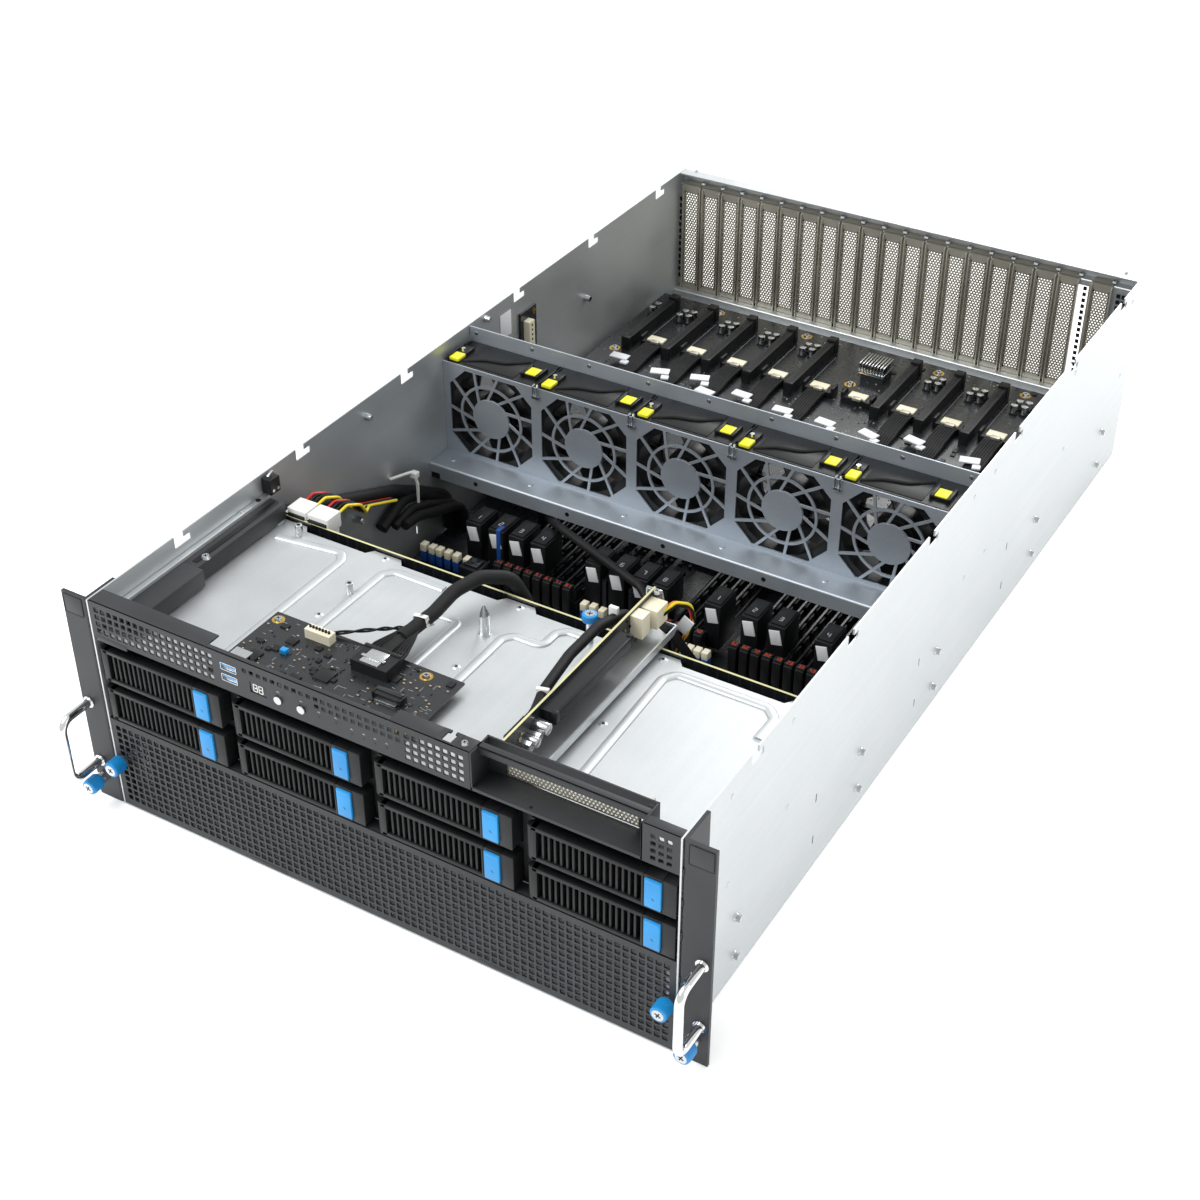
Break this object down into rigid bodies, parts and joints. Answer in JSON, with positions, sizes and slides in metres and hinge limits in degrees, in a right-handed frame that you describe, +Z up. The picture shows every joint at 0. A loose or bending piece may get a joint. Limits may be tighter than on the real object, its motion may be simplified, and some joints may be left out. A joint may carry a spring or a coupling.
{
  "type": "rack server",
  "caption": "Rack-mount server chassis with its lid off: front drive trays and lower grille, cross fan wall, card bay and vented rear covers.",
  "frame": {"origin": "middle of the width, at the front panels' outer face, on the chassis floor's underside", "axes": "+X to the server's right side seen from the front, +Y from the front panel to the rear, +Z up"},
  "size_m": [0.4826, 0.85, 0.1745],
  "materials": {
    "galvanised_steel": "zinc-coated sheet, satin",
    "black_steel": "fine-textured powder coat",
    "bare_steel": "bright zinc plate",
    "nickel_steel": "nickel plate, satin",
    "chrome_steel": "polished plating",
    "circuit_board": "black solder mask",
    "black_plastic": "moulded, fine grain",
    "blue_plastic": "moulded, satin",
    "cable_sleeve": "braided sleeve"
  },
  "bodies": {
    "chassis": {"chassis_shell": "galvanised_steel", "rear_frame": "galvanised_steel", "slot_covers": "nickel_steel", "drive_cage": "galvanised_steel", "cage_bezel": "black_plastic", "front_panels": "black_steel", "rack_ears": "black_steel", "pull_handles": "chrome_steel", "thumbscrews": "bare_steel", "drive_backplane": "circuit_board", "io_board": "circuit_board", "card_riser": "circuit_board", "riser_tray": "galvanised_steel", "fan_wall": "galvanised_steel", "gpu_board": "circuit_board", "mainboard": "circuit_board", "wall_fittings": "black_plastic", "cables": "cable_sleeve"},
    "grille": {"front_grille": "black_steel", "grille_thumbscrews": "bare_steel"},
    "power_button": {"power_button": "black_plastic"},
    "id_button": {"id_button": "black_plastic"},
    "tray_1": {"tray_carrier_1": "black_plastic"},
    "lever_1": {"tray_lever_1": "black_plastic"},
    "latch_1": {"tray_latch_1": "blue_plastic"},
    "tray_2": {"tray_carrier_2": "black_plastic"},
    "lever_2": {"tray_lever_2": "black_plastic"},
    "latch_2": {"tray_latch_2": "blue_plastic"},
    "tray_3": {"tray_carrier_3": "black_plastic"},
    "lever_3": {"tray_lever_3": "black_plastic"},
    "latch_3": {"tray_latch_3": "blue_plastic"},
    "tray_4": {"tray_carrier_4": "black_plastic"},
    "lever_4": {"tray_lever_4": "black_plastic"},
    "latch_4": {"tray_latch_4": "blue_plastic"},
    "tray_5": {"tray_carrier_5": "black_plastic"},
    "lever_5": {"tray_lever_5": "black_plastic"},
    "latch_5": {"tray_latch_5": "blue_plastic"},
    "tray_6": {"tray_carrier_6": "black_plastic"},
    "lever_6": {"tray_lever_6": "black_plastic"},
    "latch_6": {"tray_latch_6": "blue_plastic"},
    "tray_7": {"tray_carrier_7": "black_plastic"},
    "lever_7": {"tray_lever_7": "black_plastic"},
    "latch_7": {"tray_latch_7": "blue_plastic"},
    "tray_8": {"tray_carrier_8": "black_plastic"},
    "lever_8": {"tray_lever_8": "black_plastic"},
    "latch_8": {"tray_latch_8": "blue_plastic"},
    "fan_1": {"fan_module_1": "black_plastic"},
    "rotor_1": {"fan_rotor_1": "black_plastic"},
    "fan_2": {"fan_module_2": "black_plastic"},
    "rotor_2": {"fan_rotor_2": "black_plastic"},
    "fan_3": {"fan_module_3": "black_plastic"},
    "rotor_3": {"fan_rotor_3": "black_plastic"},
    "fan_4": {"fan_module_4": "black_plastic"},
    "rotor_4": {"fan_rotor_4": "black_plastic"},
    "fan_5": {"fan_module_5": "black_plastic"},
    "rotor_5": {"fan_rotor_5": "black_plastic"},
    "supply_1": {"power_supply_1": "bare_steel"},
    "supply_2": {"power_supply_2": "bare_steel"},
    "supply_3": {"power_supply_3": "bare_steel"},
    "supply_4": {"power_supply_4": "bare_steel"}
  },
  "joints": [
    {"name": "grille_liftoff", "type": "slide", "parent": "chassis", "child": "grille", "axis": [0, -1, 0], "range_m": [0, 0.06]},
    {"name": "power_button_press", "type": "slide", "parent": "chassis", "child": "power_button", "axis": [0, 1, 0], "range_m": [0, 0.0012], "stiffness_N_per_m": 900, "springref_m": -0.0008},
    {"name": "id_button_press", "type": "slide", "parent": "chassis", "child": "id_button", "axis": [0, 1, 0], "range_m": [0, 0.0012], "stiffness_N_per_m": 900, "springref_m": -0.0008},
    {"name": "tray_1_slide", "type": "slide", "parent": "chassis", "child": "tray_1", "axis": [0, -1, 0], "range_m": [0, 0.16]},
    {"name": "lever_1_swing", "type": "hinge", "parent": "tray_1", "child": "lever_1", "pos_m": [-0.2134, 0.0035, 0.0911], "axis": [0, 0, -1], "range_deg": [0, 55]},
    {"name": "latch_1_press", "type": "slide", "parent": "tray_1", "child": "latch_1", "axis": [0, 1, 0], "range_m": [0, 0.002], "stiffness_N_per_m": 600, "springref_m": -0.001},
    {"name": "tray_2_slide", "type": "slide", "parent": "chassis", "child": "tray_2", "axis": [0, -1, 0], "range_m": [0, 0.16]},
    {"name": "lever_2_swing", "type": "hinge", "parent": "tray_2", "child": "lever_2", "pos_m": [-0.1026, 0.0035, 0.0911], "axis": [0, 0, -1], "range_deg": [0, 55]},
    {"name": "latch_2_press", "type": "slide", "parent": "tray_2", "child": "latch_2", "axis": [0, 1, 0], "range_m": [0, 0.002], "stiffness_N_per_m": 600, "springref_m": -0.001},
    {"name": "tray_3_slide", "type": "slide", "parent": "chassis", "child": "tray_3", "axis": [0, -1, 0], "range_m": [0, 0.16]},
    {"name": "lever_3_swing", "type": "hinge", "parent": "tray_3", "child": "lever_3", "pos_m": [0.0082, 0.0035, 0.0911], "axis": [0, 0, -1], "range_deg": [0, 55]},
    {"name": "latch_3_press", "type": "slide", "parent": "tray_3", "child": "latch_3", "axis": [0, 1, 0], "range_m": [0, 0.002], "stiffness_N_per_m": 600, "springref_m": -0.001},
    {"name": "tray_4_slide", "type": "slide", "parent": "chassis", "child": "tray_4", "axis": [0, -1, 0], "range_m": [0, 0.16]},
    {"name": "lever_4_swing", "type": "hinge", "parent": "tray_4", "child": "lever_4", "pos_m": [0.119, 0.0035, 0.0911], "axis": [0, 0, -1], "range_deg": [0, 55]},
    {"name": "latch_4_press", "type": "slide", "parent": "tray_4", "child": "latch_4", "axis": [0, 1, 0], "range_m": [0, 0.002], "stiffness_N_per_m": 600, "springref_m": -0.001},
    {"name": "tray_5_slide", "type": "slide", "parent": "chassis", "child": "tray_5", "axis": [0, -1, 0], "range_m": [0, 0.16]},
    {"name": "lever_5_swing", "type": "hinge", "parent": "tray_5", "child": "lever_5", "pos_m": [-0.2134, 0.0035, 0.1237], "axis": [0, 0, -1], "range_deg": [0, 55]},
    {"name": "latch_5_press", "type": "slide", "parent": "tray_5", "child": "latch_5", "axis": [0, 1, 0], "range_m": [0, 0.002], "stiffness_N_per_m": 600, "springref_m": -0.001},
    {"name": "tray_6_slide", "type": "slide", "parent": "chassis", "child": "tray_6", "axis": [0, -1, 0], "range_m": [0, 0.16]},
    {"name": "lever_6_swing", "type": "hinge", "parent": "tray_6", "child": "lever_6", "pos_m": [-0.1026, 0.0035, 0.1237], "axis": [0, 0, -1], "range_deg": [0, 55]},
    {"name": "latch_6_press", "type": "slide", "parent": "tray_6", "child": "latch_6", "axis": [0, 1, 0], "range_m": [0, 0.002], "stiffness_N_per_m": 600, "springref_m": -0.001},
    {"name": "tray_7_slide", "type": "slide", "parent": "chassis", "child": "tray_7", "axis": [0, -1, 0], "range_m": [0, 0.16]},
    {"name": "lever_7_swing", "type": "hinge", "parent": "tray_7", "child": "lever_7", "pos_m": [0.0082, 0.0035, 0.1237], "axis": [0, 0, -1], "range_deg": [0, 55]},
    {"name": "latch_7_press", "type": "slide", "parent": "tray_7", "child": "latch_7", "axis": [0, 1, 0], "range_m": [0, 0.002], "stiffness_N_per_m": 600, "springref_m": -0.001},
    {"name": "tray_8_slide", "type": "slide", "parent": "chassis", "child": "tray_8", "axis": [0, -1, 0], "range_m": [0, 0.16]},
    {"name": "lever_8_swing", "type": "hinge", "parent": "tray_8", "child": "lever_8", "pos_m": [0.119, 0.0035, 0.1237], "axis": [0, 0, -1], "range_deg": [0, 55]},
    {"name": "latch_8_press", "type": "slide", "parent": "tray_8", "child": "latch_8", "axis": [0, 1, 0], "range_m": [0, 0.002], "stiffness_N_per_m": 600, "springref_m": -0.001},
    {"name": "fan_1_lift", "type": "slide", "parent": "chassis", "child": "fan_1", "axis": [0, 0, 1], "range_m": [0, 0.085]},
    {"name": "rotor_1_spin", "type": "hinge", "parent": "fan_1", "child": "rotor_1", "pos_m": [-0.174, 0.42, 0.1193], "axis": [0, 1, 0], "continuous": true},
    {"name": "fan_2_lift", "type": "slide", "parent": "chassis", "child": "fan_2", "axis": [0, 0, 1], "range_m": [0, 0.085]},
    {"name": "rotor_2_spin", "type": "hinge", "parent": "fan_2", "child": "rotor_2", "pos_m": [-0.088, 0.42, 0.1193], "axis": [0, 1, 0], "continuous": true},
    {"name": "fan_3_lift", "type": "slide", "parent": "chassis", "child": "fan_3", "axis": [0, 0, 1], "range_m": [0, 0.085]},
    {"name": "rotor_3_spin", "type": "hinge", "parent": "fan_3", "child": "rotor_3", "pos_m": [-0.002, 0.42, 0.1193], "axis": [0, 1, 0], "continuous": true},
    {"name": "fan_4_lift", "type": "slide", "parent": "chassis", "child": "fan_4", "axis": [0, 0, 1], "range_m": [0, 0.085]},
    {"name": "rotor_4_spin", "type": "hinge", "parent": "fan_4", "child": "rotor_4", "pos_m": [0.084, 0.42, 0.1193], "axis": [0, 1, 0], "continuous": true},
    {"name": "fan_5_lift", "type": "slide", "parent": "chassis", "child": "fan_5", "axis": [0, 0, 1], "range_m": [0, 0.085]},
    {"name": "rotor_5_spin", "type": "hinge", "parent": "fan_5", "child": "rotor_5", "pos_m": [0.17, 0.42, 0.1193], "axis": [0, 1, 0], "continuous": true},
    {"name": "supply_1_slide", "type": "slide", "parent": "chassis", "child": "supply_1", "axis": [0, 1, 0], "range_m": [0, 0.185]},
    {"name": "supply_2_slide", "type": "slide", "parent": "chassis", "child": "supply_2", "axis": [0, 1, 0], "range_m": [0, 0.185]},
    {"name": "supply_3_slide", "type": "slide", "parent": "chassis", "child": "supply_3", "axis": [0, 1, 0], "range_m": [0, 0.185]},
    {"name": "supply_4_slide", "type": "slide", "parent": "chassis", "child": "supply_4", "axis": [0, 1, 0], "range_m": [0, 0.185]}
  ]
}
